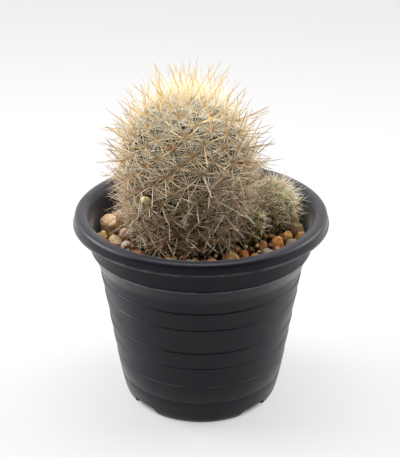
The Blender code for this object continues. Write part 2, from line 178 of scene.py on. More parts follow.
class CactusSettings(bpy.types.PropertyGroup):
    """Everything that a user would change"""

    pot: group(PotSettings, "Pot")
    stem: group(StemSettings, "Stem")
    spine: group(SpineSettings, "Spines")
    gravel: group(GravelSettings, "Gravel")
    stage: group(StageSettings, "Stage")


# Shader building

SOCKETS = {
    "vector": "NodeSocketVector", "colour": "NodeSocketColor", "value": "NodeSocketFloat",
}
SPINE_MAP = "OFBake"
SPINE_SLOTS = 96.0  # columns of the spine map, each with its own shade
AGES = ("Young", "Old")
SPINE_PARTS = ("Root", "Middle", "Tip")


def rgba(values, strength=1.0):
    """A colour socket's value."""
    return (values[0] * strength, values[1] * strength, values[2] * strength, 1.0)


def feed(tree, node, inputs):
    """Link the sockets in `inputs` to a node's inputs, and set the other values."""
    for key, value in inputs.items():
        if isinstance(value, bpy.types.NodeSocket):
            tree.links.new(value, node.inputs[key])
        else:
            node.inputs[key].default_value = value


def add_node(tree, kind, inputs=None, **settings):
    """A shader node with its properties set and its inputs fed."""
    node = tree.nodes.new("ShaderNode" + kind)
    for key, value in settings.items():
        setattr(node, key, value)
    feed(tree, node, inputs or {})
    return node


def maths(tree, operation, *values):
    """A calculation on sockets and numbers."""
    return add_node(tree, "Math", dict(enumerate(values)), operation=operation).outputs["Value"]


def value_range(tree, value, low, high, start=0.0, end=1.0, smooth=False):
    """A value moved from the range start to end into the range low to high."""
    limits = {"Value": value, "From Min": start, "From Max": end, "To Min": low, "To Max": high}
    kind = "SMOOTHSTEP" if smooth else "LINEAR"
    return add_node(tree, "MapRange", limits, interpolation_type=kind).outputs["Result"]


def mix_by(tree, mask, below, above):
    """A colour between two others, each a socket or a linear colour."""
    inputs = {"Factor": mask, "A": below, "B": above}
    for key in "AB":
        if not isinstance(inputs[key], bpy.types.NodeSocket):
            inputs[key] = rgba(inputs[key])
    return add_node(tree, "Mix", inputs, data_type="RGBA").outputs["Result"]


def new_group(name, inputs, outputs):
    """A shader node group. An input is a kind of socket, or a number as its default."""
    made = bpy.data.node_groups.new(name, "ShaderNodeTree")
    for key, kind in inputs.items():
        number = isinstance(kind, float)
        socket = made.interface.new_socket(
            key, in_out="INPUT", socket_type=SOCKETS["value" if number else kind],
        )
        if number:
            socket.default_value = kind
    for key, kind in outputs.items():
        made.interface.new_socket(key, in_out="OUTPUT", socket_type=SOCKETS[kind])
    return made, made.nodes.new("NodeGroupInput").outputs, made.nodes.new("NodeGroupOutput")


def mottle_group():
    """Soft patches, as a mask from 0 to 1."""
    inputs = {"Vector": "vector", "Scale": 100.0, "Low": 0.35, "High": 0.65}
    tree, given, result = new_group("Mottle", inputs, {"Mask": "value"})
    patches = add_node(tree, "TexNoise", {
        "Vector": given["Vector"], "Scale": given["Scale"], "Detail": 6.0, "Roughness": 0.6,
    }).outputs["Fac"]
    mask = value_range(tree, patches, 0.0, 1.0, given["Low"], given["High"], smooth=True)
    feed(tree, result, {"Mask": mask})
    return tree


def speck_group():
    """Small separate specks, as a mask, for dust, grit and mineral grains."""
    inputs = {"Vector": "vector", "Scale": 900.0, "Size": 0.18, "Share": 0.3}
    tree, given, result = new_group("Specks", inputs, {"Mask": "value"})
    cells = add_node(
        tree, "TexVoronoi", {"Vector": given["Vector"], "Scale": given["Scale"]}, feature="F1",
    ).outputs
    parts = add_node(tree, "SeparateColor", {"Color": cells["Color"]}).outputs
    inside = maths(tree, "LESS_THAN", cells["Distance"], given["Size"])
    chosen = maths(tree, "LESS_THAN", parts["Red"], given["Share"])
    feed(tree, result, {"Mask": maths(tree, "MULTIPLY", inside, chosen)})
    return tree


def spine_group():
    """A spine's colour from root to tip, where U tells young from old and varies each spine."""
    inputs = {f"{age} {part}": "colour" for age in AGES for part in SPINE_PARTS}
    tree, given, result = new_group(
        "Spine Colour", inputs | {"Variation": 0.3}, {"Color": "colour", "Along": "value"},
    )
    place = add_node(tree, "UVMap", uv_map=SPINE_MAP).outputs["UV"]
    axes = add_node(tree, "SeparateXYZ", {"Vector": place}).outputs
    lower = value_range(tree, axes["Y"], 0.0, 1.0, 0.0, 0.42, smooth=True)
    upper = value_range(tree, axes["Y"], 0.0, 1.0, 0.55, 0.98, smooth=True)
    ages = []
    for age in AGES:
        root, middle, tip = (given[f"{age} {part}"] for part in SPINE_PARTS)
        ages.append(mix_by(tree, upper, mix_by(tree, lower, root, middle), tip))
    slot = maths(tree, "FLOOR", maths(tree, "MULTIPLY", axes["X"], SPINE_SLOTS))
    own = add_node(tree, "TexWhiteNoise", {"W": slot}, noise_dimensions="1D").outputs["Value"]
    darkest = maths(tree, "MULTIPLY_ADD", given["Variation"], -0.5, 1.0)
    shade = maths(tree, "MULTIPLY_ADD", own, given["Variation"], darkest)
    aged = mix_by(tree, axes["X"], *ages)
    shaded = add_node(tree, "HueSaturation", {"Value": shade, "Color": aged})
    feed(tree, result, {"Color": shaded.outputs["Color"], "Along": axes["Y"]})
    return tree


def shader_group(name):
    """A shared effect, built once."""
    makers = {"Mottle": mottle_group, "Specks": speck_group, "Spine Colour": spine_group}
    return bpy.data.node_groups.get(name) or makers[name]()


def masked(tree, where, name, *values):
    """The mask of a shared effect at some coordinates, with the group's other inputs in order."""
    inputs = dict(enumerate((where, *values)))
    return add_node(tree, "Group", inputs, node_tree=shader_group(name)).outputs["Mask"]


def new_material(name, roughness, specular):
    """A new material, with its tree, its shader and its object coordinates."""
    material = bpy.data.materials.new(name)
    material.use_nodes = True
    tree = material.node_tree
    shader = tree.nodes["Principled BSDF"]
    feed(tree, shader, {"Roughness": roughness, "Specular IOR Level": specular})
    return material, tree, shader, add_node(tree, "TexCoord").outputs["Object"]


def finish_surface(tree, shader, shade, roughness, height=None, depth=0.0, strength=1.0):
    """Feed a shader its colour, its roughness and its relief."""
    feed(tree, shader, {"Base Color": shade, "Roughness": roughness})
    if height is not None:
        relief = {"Height": height, "Distance": depth, "Strength": strength}
        feed(tree, shader, {"Normal": add_node(tree, "Bump", relief).outputs["Normal"]})


def grain_noise(tree, where, scale, detail):
    """Plain noise, for relief."""
    inputs = {"Vector": where, "Scale": scale, "Detail": detail}
    return add_node(tree, "TexNoise", inputs).outputs["Fac"]


def read_value(tree, name, output="Fac"):
    """What a mesh carries at its points."""
    return add_node(tree, "Attribute", attribute_name=name).outputs[output]


def pot_material(pot):
    """Satin black plastic: moulded grain, faint smears, a little dust and painted highlights on
    edges.
    """
    material, tree, shader, where = new_material("pot plastic", 0.4, 0.24)
    feed(tree, shader, {
        "Sheen Weight": 0.21, "Sheen Roughness": 0.35, "Specular Tint": (0.97, 0.96, 1.0, 1.0),
    })
    smear = masked(tree, where, "Mottle", 60.0, 0.35, 0.7)
    specks = masked(tree, where, "Specks", 620.0, 0.16, 0.12)
    patchy = masked(tree, where, "Mottle", 130.0, 0.25, 0.6)
    body = mix_by(tree, smear, pot.skin, rgba(pot.skin, 1.5))
    dusty = mix_by(tree, specks, body, rgba(pot.dust, 0.15))
    # Painted highlight lines on the bead, skirt edge and groove lips, broken into patches.
    edge_highlight = maths(tree, "MULTIPLY", read_value(tree, "painted_highlight"), patchy)
    finish_surface(
        tree, shader, mix_by(tree, edge_highlight, dusty, pot.edge_highlight), value_range(tree, smear, 0.36, 0.50),
        grain_noise(tree, where, 900.0, 2.0), 0.03 * MM, 0.3,
    )
    return material


def skin_material(name, ridge, valley):
    """Waxy cactus skin with painted shade in its valleys, fine pale dots and a woolly crown."""
    material, tree, shader, where = new_material(name, 0.5, 0.4)
    patches = masked(tree, where, "Mottle", 240.0, 0.3, 0.7)
    dots = masked(tree, where, "Specks", 2100.0, 0.25, 0.5)
    toned = mix_by(tree, patches, rgba(ridge, 0.72), rgba(ridge, 1.25))
    # Painted shade: the skin darkens to the valley colour between the tubercles.
    with_valley_shade = mix_by(tree, read_value(tree, "ridge"), valley, toned)
    pale = [0.5 * part + 0.12 for part in ridge]
    dotted = mix_by(tree, value_range(tree, dots, 0.0, 0.35), with_valley_shade, pale)
    woolly = maths(tree, "MULTIPLY", read_value(tree, "crown"), patches)
    finish_surface(
        tree, shader, mix_by(tree, woolly, dotted, (0.80, 0.75, 0.66)),
        value_range(tree, patches, 0.42, 0.6), dots, 0.05 * MM, 0.5,
    )
    return material


def spine_material(name, young, old, roughness, variation):
    """Horny spine. Each age has its root, middle and tip colours."""
    material, tree, shader, _ = new_material(name, roughness, 0.45)
    inputs = {"Variation": variation}
    for age, colours in zip(AGES, (young, old)):
        for part, value in zip(SPINE_PARTS, colours):
            inputs[f"{age} {part}"] = rgba(value)
    blend = add_node(tree, "Group", inputs, node_tree=shader_group("Spine Colour")).outputs
    rough = value_range(tree, blend["Along"], roughness - 0.08, roughness + 0.1)
    finish_surface(tree, shader, blend["Color"], rough)
    return material


def stone_material():
    """Worn gravel: each stone's tint, patchy, with dark specks, pale grains and chips."""
    material, tree, shader, where = new_material("gravel", 0.8, 0.35)
    tint = read_value(tree, "tint", "Color")
    broad = masked(tree, where, "Mottle", 330.0, 0.36, 0.62)
    fine = masked(tree, where, "Mottle", 900.0, 0.38, 0.72)
    grains = masked(tree, where, "Specks", 1500.0, 0.3, 0.3)
    dark_specks = masked(tree, where, "Specks", 1100.0, 0.2, 0.2)
    light, dark = (
        add_node(
            tree, "HueSaturation", {"Saturation": saturation, "Value": value, "Color": tint},
        ).outputs["Color"]
        for saturation, value in ((0.86, 1.32), (1.2, 0.42))
    )
    shade = mix_by(tree, broad, tint, light)
    shade = mix_by(tree, value_range(tree, fine, 0.0, 0.62), shade, dark)
    shade = mix_by(tree, value_range(tree, grains, 0.0, 0.4), shade, light)
    shade = mix_by(tree, value_range(tree, dark_specks, 0.0, 0.6), shade, (0.04, 0.025, 0.015))
    chips = grain_noise(tree, where, 700.0, 8.0)
    finish_surface(tree, shader, shade, value_range(tree, fine, 0.6, 0.88), chips, 0.4 * MM, 0.8)
    return material


def soil_material():
    """Damp dark soil with pale grit."""
    material, tree, shader, where = new_material("soil", 0.95, 0.2)
    clods = masked(tree, where, "Mottle", 420.0, 0.3, 0.7)
    grit = value_range(tree, masked(tree, where, "Specks", 900.0, 0.2, 0.12), 0.0, 0.6)
    damp = mix_by(tree, clods, (0.010, 0.007, 0.005), (0.045, 0.030, 0.020))
    shade = mix_by(tree, grit, damp, (0.25, 0.2, 0.15))
    finish_surface(tree, shader, shade, value_range(tree, clods, 0.85, 1.0), clods, 0.8 * MM, 0.8)
    return material


def feed_material():
    """Pale yellow resin coat, a little blotchy."""
    material, tree, shader, where = new_material("feed", 0.45, 0.5)
    blotch = masked(tree, where, "Mottle", 700.0, 0.3, 0.7)
    shade = mix_by(tree, blotch, (0.62, 0.50, 0.19), (0.86, 0.77, 0.42))
    rough = value_range(tree, blotch, 0.38, 0.55)
    finish_surface(tree, shader, shade, rough, blotch, 0.1 * MM, 0.5)
    return material


def wool_material(name="wool", dark=(0.62, 0.55, 0.44), light=(0.88, 0.85, 0.78)):
    """Felt and wool, in tufts."""
    material, tree, shader, where = new_material(name, 0.9, 0.2)
    tuft = masked(tree, where, "Mottle", 1300.0, 0.3, 0.7)
    shade = mix_by(tree, tuft, dark, light)
    finish_surface(tree, shader, shade, value_range(tree, tuft, 0.8, 0.95))
    return material


# Mesh building

def add_piece(mesh, material, replaced=()):
    """A finished piece: it rides on the part, and stands for the CAD nodes it replaces."""
    mesh.materials.clear()
    mesh.materials.append(material)
    piece = bpy.data.objects.new(mesh.name, mesh)
    bpy.context.scene.collection.objects.link(piece)
    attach(piece, BODY)
    if replaced:
        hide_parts(*replaced)
    return piece


def smooth_mesh(name, points, faces):
    """A smooth mesh from numbered points."""
    mesh = bpy.data.meshes.new(name)
    mesh.from_pydata([tuple(point) for point in points], [], faces)
    mesh.shade_smooth()
    return mesh


def joined_mesh(name, parts):
    """One smooth mesh from many (points, faces) parts."""
    points, faces, start = [], [], 0
    for placed, corners in parts:
        points.append(placed)
        faces += [[start + corner for corner in face] for face in corners]
        start += len(placed)
    return smooth_mesh(name, np.concatenate(points), faces)


def filled_mesh(name, bm):
    """A mesh from mesh code, which is freed."""
    mesh = bpy.data.meshes.new(name)
    bm.to_mesh(mesh)
    bm.free()
    return mesh


def add_values(mesh, name, values):
    """A number at every point, for a material to read."""
    mesh.attributes.new(name, "FLOAT", "POINT").data.foreach_set("value", values)


def turned_mesh(name, outline, segments):
    """A closed (radius, height) outline spun round the Z axis."""
    bm = bmesh.new()
    verts = [bm.verts.new((radius, 0.0, height)) for radius, height in outline]
    edges = [bm.edges.new((verts[i - 1], verts[i])) for i in range(len(verts))]
    bmesh.ops.spin(
        bm, geom=verts + edges, cent=(0, 0, 0), axis=(0, 0, 1), angle=TURN, steps=segments,
        use_merge=True,
    )
    bmesh.ops.remove_doubles(bm, verts=bm.verts, dist=0.001 * MM)
    loose = [edge for edge in bm.edges if not edge.link_faces]
    bmesh.ops.delete(bm, geom=loose, context="EDGES")
    bmesh.ops.recalc_face_normals(bm, faces=bm.faces)
    return filled_mesh(name, bm)


def rounded(points, steps):
    """A smooth curve through the points, with a few steps between each pair."""
    ends = [points[0], *points, points[-1]]
    curve = []
    for i in range(len(points) - 1):
        a, b, c, d = (Vector(end) for end in ends[i:i + 4])
        for k in range(steps):
            t = k / steps
            curve.append(tuple(0.5 * (
                2.0 * b + (c - a) * t + (2.0 * a - 5.0 * b + 4.0 * c - d) * t * t
                + (3.0 * b - a - 3.0 * c + d) * t ** 3
            )))
    return curve + [tuple(points[-1])]


# Pot. Its measures are in millimetres, and its outline runs up the outside and down the inside.

LIP_HEIGHT = 77.6
TAPER = (43.96 - 32.1) / LIP_HEIGHT
BASE_UNDERSIDE, BASE_TOP = 5.4, 6.7
FOOT_CURVE = [(29.4, 0.07), (30.2, 0.5), (31.2, 1.6), (31.9, 3.0), (32.5, 5.2), (33.3, 8.8)]
FOOT_LINE = 12.4
GROOVES = {20.7: 0.2, 29.65: 0.5, 37.3: 0.85, 48.6: 0.65, 56.4: 1.0}  # height: share of depth
GROOVE_SHAPE = [  # inset, share of the groove's depth, rise
    (0.05, 0.0, -0.9), (0.01, 0.0, -0.28), (0.0, 0.24, -0.14), (0.0, 1.0, -0.02),
    (0.0, 1.0, 0.06), (0.0, 0.66, 0.16), (0.0, 0.58, 0.6),
]
NOTCH_ANGLES = [math.radians(-47.0 + 90.0 * i) for i in range(4)]
NOTCH_SIZE = (11.0, 9.0, 9.2)
NOTCH_REACH, NOTCH_SPLAY, NOTCH_BEVEL = 30.6, 1.7, 1.0
HOLE_RADIUS, HOLE_LENGTH, HOLE_REACH = 3.2, 4.0, 21.0


def pot_outline(pot):
    """The wall's cross-section, with thin grooves, a beaded collar and a rolled rim."""
    foot, thick, band = pot.foot_radius / MM, pot.wall / MM, pot.collar_radius / MM
    bead, shoulder, lip, top = (
        size / MM for size in (pot.collar_foot, pot.shoulder_foot, POT_HIGH.x, POT_HIGH.z)
    )

    def wall(height):
        return foot + TAPER * height

    outline = [(27.4, 0.0), (29.0, 0.0)] + rounded(FOOT_CURVE, 3)
    for below, inset in ((0.5, 0.06), (0.3, 0.10), (0.05, 0.02)):
        outline.append((wall(FOOT_LINE - below) - inset, FOOT_LINE - below))
    for height, share in GROOVES.items():
        depth = pot.groove_depth / MM * share
        outline += [
            (wall(height) - inset - part * depth, height + rise)
            for inset, part, rise in GROOVE_SHAPE
        ]
    shoulder_and_bead = [
        (wall(shoulder - 1.2), shoulder - 1.2), (wall(shoulder) + 0.03, shoulder),
        (41.95, 62.5), (42.85, 64.4), (43.7, 66.1), (44.25, bead - 0.35), (44.5, bead - 0.05),
        (44.56, bead + 0.2), (44.48, bead + 0.45), (44.38, bead + 0.75), (44.36, bead + 1.4),
    ]
    under_rim = [
        (band - 0.1, LIP_HEIGHT - 1.0), (44.9, 79.5), (46.0, 80.35), (48.6, 80.5), (49.5, 79.6),
    ]
    lip_edge = [
        (lip - 0.2, LIP_HEIGHT), (lip, LIP_HEIGHT + 0.2), (lip - 0.08, LIP_HEIGHT + 0.45),
        (lip - 0.32, LIP_HEIGHT + 0.62),
    ]
    over_rim = [
        (lip - 0.45, 78.9), (50.35, 80.4), (50.05, 81.35), (49.4, top - 0.3), (48.4, top),
        (46.6, top - 0.08), (45.3, top - 0.85), (44.2, 79.6), (43.4, 77.0),
    ]
    outline += rounded(shoulder_and_bead, 4) + rounded(under_rim, 3)
    outline += [(lip - 0.9, LIP_HEIGHT + 0.15), (lip - 0.7, LIP_HEIGHT)]
    outline += rounded(lip_edge, 3) + rounded(over_rim, 4)
    outline += [
        (44.0 - thick, 66.7), (42.5 - thick, 63.4), (wall(shoulder) - thick, shoulder - 0.4),
        (wall(BASE_TOP) - 1.6 * thick, BASE_TOP + thick), (wall(BASE_TOP) - 2.6 * thick, BASE_TOP),
        (0.0, BASE_TOP), (0.0, BASE_UNDERSIDE), (30.6, BASE_UNDERSIDE), (30.2, 3.4), (28.8, 1.6),
    ]
    return [(radius * MM, height * MM) for radius, height in outline]


def drain_cutter():
    """Rounded notches through the foot ring, each with a hole through the base behind it."""
    bm = bmesh.new()
    for angle in NOTCH_ANGLES:
        turn = Matrix.Rotation(angle, 4, "Z")
        box = bmesh.ops.create_cube(bm, size=1.0)["verts"]
        size = Matrix.Diagonal((*(side * MM for side in NOTCH_SIZE), 1.0))
        bmesh.ops.transform(bm, matrix=size, verts=box)
        for vert in box:
            if vert.co.z < 0.0:
                vert.co.x *= NOTCH_SPLAY
        place = turn @ Matrix.Translation((0, -NOTCH_REACH * MM, 0))
        bmesh.ops.transform(bm, matrix=place, verts=box)
        edges = [edge for edge in bm.edges if edge.verts[0] in box]
        bmesh.ops.bevel(
            bm, geom=edges, offset=NOTCH_BEVEL * MM, segments=4, affect="EDGES", profile=0.5,
        )
        hole = bmesh.ops.create_cone(
            bm, cap_ends=True, segments=48, radius1=HOLE_RADIUS * MM, radius2=HOLE_RADIUS * MM,
            depth=HOLE_LENGTH * MM,
        )["verts"]
        level = (BASE_TOP + BASE_UNDERSIDE) / 2.0
        place = turn @ Matrix.Translation((0, -HOLE_REACH * MM, level * MM))
        bmesh.ops.transform(bm, matrix=place, verts=hole)
    bmesh.ops.recalc_face_normals(bm, faces=bm.faces)
    return bpy.data.objects.new("drain_cutter", filled_mesh("drain_cutter", bm))


def apply_cut(piece, cutter):
    """Cut one object out of another for good, and remove the cutter."""
    bpy.context.scene.collection.objects.link(cutter)
    cut = piece.modifiers.new("cut", "BOOLEAN")
    cut.operation = "DIFFERENCE"
    cut.solver = "EXACT"
    cut.object = cutter
    bpy.context.view_layer.update()
    evaluated = piece.evaluated_get(bpy.context.evaluated_depsgraph_get())
    mesh = bpy.data.meshes.new_from_object(evaluated)
    piece.modifiers.clear()
    piece.data = mesh
    bpy.data.objects.remove(cutter, do_unlink=True)


def add_painted_highlights(mesh, pot):
    """Mark the bead, the skirt's edge and the grooves' lower lips for painted highlight lines."""
    points = np.zeros(len(mesh.vertices) * 3)
    mesh.vertices.foreach_get("co", points)
    points = points.reshape(-1, 3) / MM
    radius, height = np.hypot(points[:, 0], points[:, 1]), points[:, 2]
    painted_highlight = np.zeros(len(points))
    bead = pot.collar_foot / MM + 0.15
    painted_highlight[(abs(height - bead) < 0.32) & (radius > 43.8)] = 1.0
    painted_highlight[(height > LIP_HEIGHT) & (height < LIP_HEIGHT + 0.7) & (radius > 50.4)] = 0.4
    skin = pot.foot_radius / MM + TAPER * height - 0.12
    for groove in [*GROOVES, FOOT_LINE]:
        lip = (height > groove - 0.4) & (height < groove - 0.1)
        painted_highlight[lip & (radius > skin)] = 0.45 if groove < 25.0 else 0.1
    add_values(mesh, "painted_highlight", painted_highlight)


class CACTUS_OT_pot(bpy.types.Operator):
    """Make the black plastic pot, with its grooved tiers, rolled rim and drain notches"""

    bl_idname = "cactus.make_pot"
    bl_label = "Make pot"

    def execute(self, context):
        settings = context.scene.cactus.pot
        mesh = turned_mesh("nursery_pot", pot_outline(settings), 192)
        pot = add_piece(mesh, pot_material(settings), ["pot"])
        apply_cut(pot, drain_cutter())
        pot.data.shade_smooth()
        pot.data.set_sharp_from_angle(angle=math.radians(40.0))
        add_painted_highlights(pot.data, settings)
        return {"FINISHED"}


# Gravel and soil

# Named stones' tints, with painted light on the left and painted shade at the front and right.
LIT_STONE_TINTS = {
    "left_large": (0.93, 0.64, 0.35), "left_back": (0.88, 0.62, 0.40),
    "left_rim": (0.82, 0.55, 0.22), "left_cream": (0.93, 0.70, 0.42),
    "left_brown": (0.84, 0.54, 0.34), "left_chip": (0.94, 0.84, 0.77),
    "left_front": (0.29, 0.094, 0.019), "front_cream": (0.37, 0.31, 0.17),
    "front_green": (0.34, 0.29, 0.17), "front_pink": (0.34, 0.15, 0.074),
    "front_gold": (0.27, 0.14, 0.037), "front_tan": (0.29, 0.18, 0.075),
    "front_grey": (0.25, 0.21, 0.15), "right_rust": (0.30, 0.12, 0.025),
    "right_orange": (0.52, 0.19, 0.03), "right_gold": (0.46, 0.22, 0.037),
    "right_grey": (0.29, 0.24, 0.17), "right_slab": (0.37, 0.23, 0.090),
    "rim_gold": (0.50, 0.26, 0.068), "rim_tan": (0.45, 0.31, 0.15),
    "rim_peach": (0.66, 0.34, 0.13), "right_back": (0.40, 0.20, 0.087),
    "back_right": (0.32, 0.22, 0.14), "back_pale": (0.51, 0.33, 0.17),
    "back_gold": (0.43, 0.21, 0.050), "back_mid": (0.46, 0.25, 0.081),
    "back_left": (0.24, 0.10, 0.043), "rim_front_left": (0.40, 0.22, 0.081),
    "rim_front_right": (0.32, 0.15, 0.062),
}
FILL_TINTS = {
    "tan": [(0.45, 0.26, 0.11), (0.54, 0.34, 0.16), (0.38, 0.21, 0.086), (0.48, 0.25, 0.099)],
    "gold": [(0.43, 0.20, 0.033), (0.50, 0.25, 0.053), (0.34, 0.15, 0.033), (0.45, 0.22, 0.059)],
    "rust": [(0.35, 0.10, 0.020), (0.46, 0.15, 0.020), (0.26, 0.074, 0.017), (0.40, 0.15, 0.040)],
    "grey": [(0.32, 0.25, 0.17), (0.22, 0.18, 0.13), (0.40, 0.31, 0.22), (0.27, 0.20, 0.15)],
    "brown": [(0.19, 0.081, 0.036), (0.24, 0.11, 0.053), (0.13, 0.052, 0.026), (0.21, 0.10, 0.066)],
}
FILL_SHARES = ("tan", "gold", "brown", "tan", "rust", "grey", "gold", "brown", "rust")
CRUMBS = 900


def random_vector(rng, reach=1.0):
    """Three draws, between minus and plus the reach."""
    return Vector([rng.uniform(-reach, reach) for _ in range(3)])


def stone_points(rng, detail):
    """A unit stone's points and faces: a ball with flats struck off, then roughened."""
    bm = bmesh.new()
    bmesh.ops.create_icosphere(bm, subdivisions=detail, radius=1.0)
    for _ in range(rng.randint(7, 11)):
        direction = random_vector(rng).normalized()
        flat = rng.uniform(0.60, 0.88)
        for vert in bm.verts:
            proud = vert.co.dot(direction) - flat
            if proud > 0.0:
                vert.co -= direction * proud * 0.86
    shift = Vector([rng.uniform(0, 50) for _ in range(3)])
    for vert in bm.verts:
        swell = noise.noise(vert.co * 1.6 + shift) * 0.13
        chip = noise.noise(vert.co * 4.2 + shift) * 0.085
        vert.co *= 1.0 + swell + chip
    points = np.array([vert.co for vert in bm.verts])
    faces = [[vert.index for vert in face.verts] for face in bm.faces]
    bm.free()
    return points, faces


def sized(points, low, high):
    """Points stretched to fill a box."""
    old_low, old_high = points.min(0), points.max(0)
    share = (points - old_low) / (old_high - old_low)
    return np.array(low) + share * (np.array(high) - np.array(low))


def add_tints(mesh, tints):
    """Give every point its stone's tint."""
    colours = np.ones((len(mesh.vertices), 4), np.float32)
    colours[:, :3] = tints
    attribute = mesh.attributes.new("tint", "FLOAT_COLOR", "POINT")
    attribute.data.foreach_set("color", colours.ravel())


def turned_by(rng):
    """A random rotation as a matrix for row vectors."""
    axis = random_vector(rng).normalized()
    return np.array(Matrix.Rotation(rng.uniform(0.0, TURN), 3, axis))


def drop_stones(settings, resting):
    """Fill round the given stones, dropping each new one until it rests on what is below it."""
    rng = random.Random(DROP_SEED)
    stones, filled = list(resting), []
    stems = []
    for node, share in (("main_stem", 0.9), ("large_offset", 0.82), ("small_offset", 0.86)):
        low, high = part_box(node)
        middle = (low + high) / 2.0
        stems.append((middle.x, middle.y, share * (high.x - low.x) / 2.0))
    for attempt in range(settings.tries):
        largest = settings.largest * (1.0 - 0.5 * attempt / settings.tries)
        radius = settings.smallest + (largest - settings.smallest) * rng.random() ** 1.4
        radius = max(radius, settings.smallest)
        reach = SOIL_RADIUS * math.sqrt(rng.random())
        angle = rng.uniform(0.0, TURN)
        x, y = reach * math.cos(angle), reach * math.sin(angle)
        if math.hypot(x, y) > SOIL_RADIUS - radius:
            continue
        if any(math.hypot(x - sx, y - sy) < sr + radius * 0.9 for sx, sy, sr in stems):
            continue
        z = SOIL_TOP + radius * 0.55
        for ox, oy, oz, other in stones:
            flat = (x - ox) ** 2 + (y - oy) ** 2
            touching = (radius + other) * 0.93
            if flat < touching * touching:
                z = max(z, oz + math.sqrt(touching * touching - flat))
        if z + radius * 0.8 < SOIL_TOP + settings.depth:
            stones.append((x, y, z, radius))
            filled.append((x, y, z, radius))
    return filled


class CACTUS_OT_gravel(bpy.types.Operator):
    """Make the gravel: the named stones where the part has them, and the finer stones between"""

    bl_idname = "cactus.make_gravel"
    bl_label = "Make gravel"

    def execute(self, context):
        material = stone_material()
        resting = []
        for index, node in enumerate(STONE_NODES):
            name = node.removeprefix("stone_")
            low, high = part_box(node)
            rng = random.Random(STONE_SEED + index)
            points, faces = stone_points(rng, 4)
            points = sized(points @ turned_by(rng), low, high)
            mesh = smooth_mesh(f"gravel_{name}", points, faces)
            # These tints carry painted light on the left and painted shade at the front and right.
            add_tints(mesh, LIT_STONE_TINTS[name])
            add_piece(mesh, material, [node])
            resting.append((*((low + high) / 2.0), (high.x - low.x) / 2.0))
        groups = {kind: ([], []) for kind in FILL_TINTS}
        filling = drop_stones(context.scene.cactus.gravel, resting)
        for index, (*centre, radius) in enumerate(filling):
            rng = random.Random(FILL_SEED + index)
            points, faces = stone_points(rng, 3 if radius > 1.8 * MM else 2)
            limits = ((0.9, 1.12), (0.8, 1.0), (0.7, 0.92))
            squash = np.array([rng.uniform(low, high) for low, high in limits])
            points = (points * squash) @ turned_by(rng) * radius + np.array(centre)
            kind = rng.choice(FILL_SHARES)
            tint = np.array(rng.choice(FILL_TINTS[kind])) * rng.uniform(0.8, 1.15)
            parts, tints = groups[kind]
            parts.append((points, faces))
            tints.append(np.tile(tint, (len(points), 1)))
        for kind, (parts, tints) in groups.items():
            mesh = joined_mesh(f"gravel_fill_{kind}", parts)
            add_tints(mesh, np.concatenate(tints))
            add_piece(mesh, material)
        return {"FINISHED"}


class CACTUS_OT_soil(bpy.types.Operator):
    """Make the soil: crumbs on top of the part's own soil, which keeps its shape"""

    bl_idname = "cactus.make_soil"
    bl_label = "Make soil"

    def execute(self, context):
        material = soil_material()
        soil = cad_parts["potting_soil"]
        soil.data.materials.clear()
        soil.data.materials.append(material)
        rng = random.Random(CRUMB_SEED)
        crumbs = []
        for _ in range(CRUMBS):
            reach = SOIL_RADIUS * math.sqrt(rng.random()) * 0.985
            angle = rng.uniform(0.0, TURN)
            points, faces = stone_points(rng, 2)
            radius = rng.uniform(0.4, 1.3) * MM
            level = SOIL_TOP + radius * 0.3
            centre = np.array([reach * math.cos(angle), reach * math.sin(angle), level])
            crumbs.append((points * radius + centre, faces))
        add_piece(joined_mesh("soil_crumbs", crumbs), material)
        return {"FINISHED"}


# Stems

def stem_axis(node):
    """A stem's root point and the direction it grows in, from its two lowest rings."""
    corners = [tuple(vert.co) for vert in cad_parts[node].data.vertices]
    points = np.unique(np.round(corners, 7), axis=0)
    rings = []
    for _ in range(2):
        ring = points[:, 2] < points[:, 2].min() + 1.0 * MM
        rings.append(points[ring].mean(0))
        points = points[~ring]
    return Vector(rings[0]), Vector(rings[1] - rings[0]).normalized()


class Areole:
    """A tubercle's tip: its place, its directions, and its share of the way down the stem."""

    def __init__(self, tip, normal, upward, down):
        self.tip, self.normal, self.upward, self.down = tip, normal, upward, down
        towards = upward - normal * upward.dot(normal)
        if towards.length < 0.05:
            towards = Vector((1, 0, 0)) - normal * normal.x
        self.towards = towards.normalized()
        self.sideways = normal.cross(self.towards)
        self.crown = math.exp(-down / 0.10)

    def fan(self, angle, open_angle):
        """A direction leaning off the normal, and the way that it leans."""
        lean = self.towards * math.cos(angle) + self.sideways * math.sin(angle)
        direction = self.normal * math.cos(open_angle) + lean * math.sin(open_angle)
        return direction.normalized(), lean


